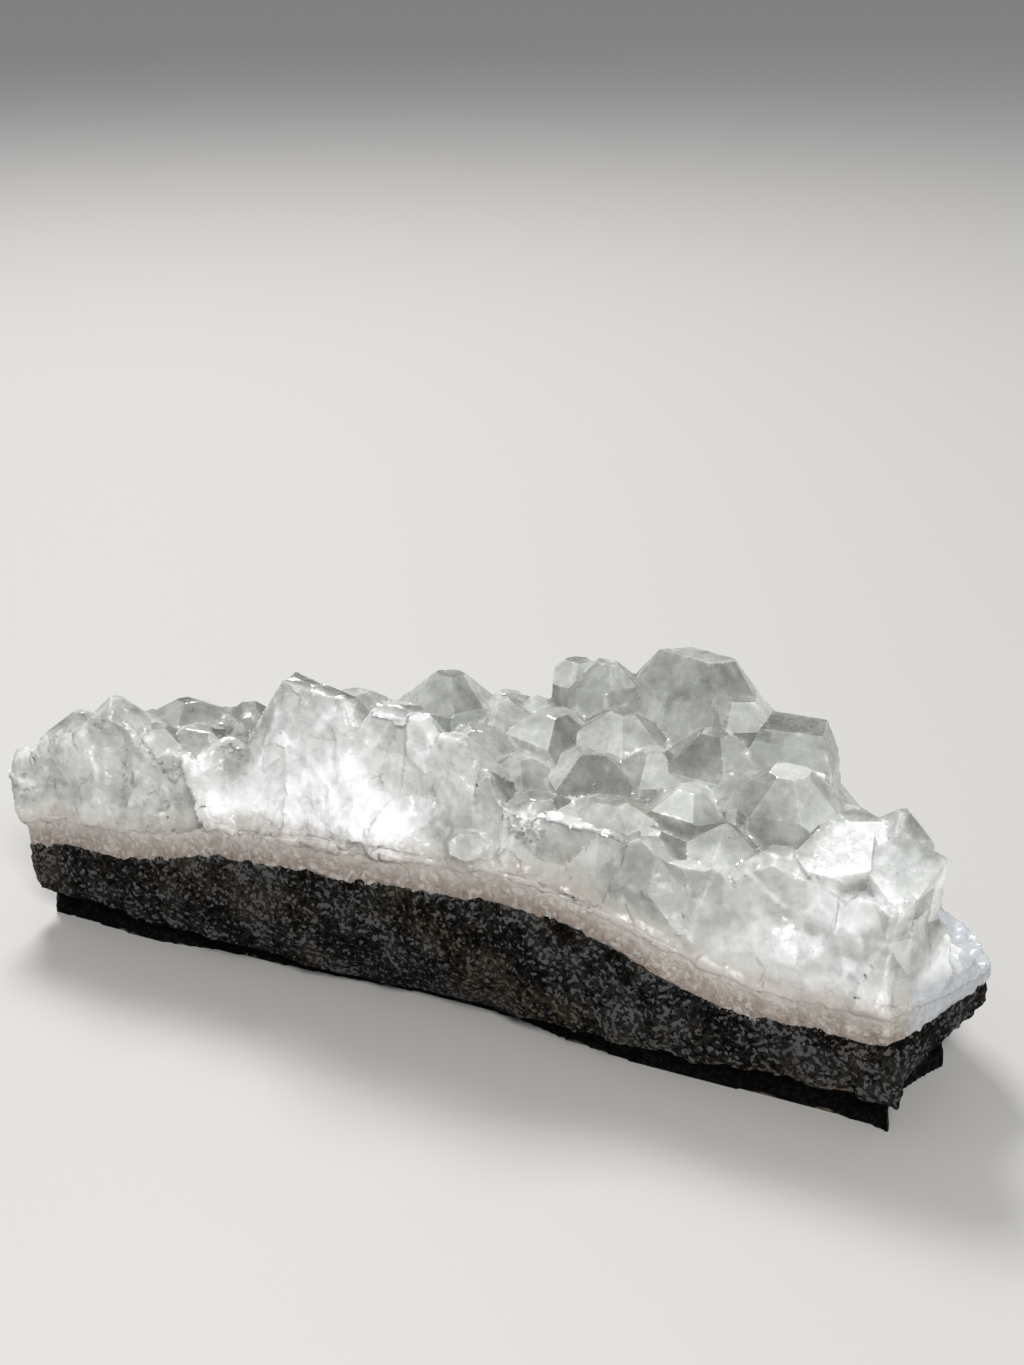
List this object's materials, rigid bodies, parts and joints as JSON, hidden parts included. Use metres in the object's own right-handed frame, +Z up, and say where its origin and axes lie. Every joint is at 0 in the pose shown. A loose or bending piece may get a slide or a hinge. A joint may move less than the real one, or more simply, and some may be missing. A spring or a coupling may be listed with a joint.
{
  "type": "apophyllite crystal cluster on basalt matrix",
  "caption": "Wedge-shaped slab of dark speckled volcanic rock with a thin pale sugary band and a crowded crust of blocky clear and milky crystals, broken along its front.",
  "frame": {"origin": "middle of the underside's bounding rectangle, on the surface the specimen rests on", "axes": "+X along the broken front from its tall narrow end towards the square end, +Y from the front to the curved back, +Z up"},
  "size_m": [0.163, 0.0615, 0.0538],
  "materials": {
    "basalt": "rough, speckled grey and tan",
    "druse": "fine sugary grain",
    "crystal": "glassy faces, frosted and broken in front"
  },
  "bodies": {
    "root": {"basalt_matrix": "basalt", "druse_band": "druse", "crystal_cluster": "crystal"}
  },
  "joints": []
}
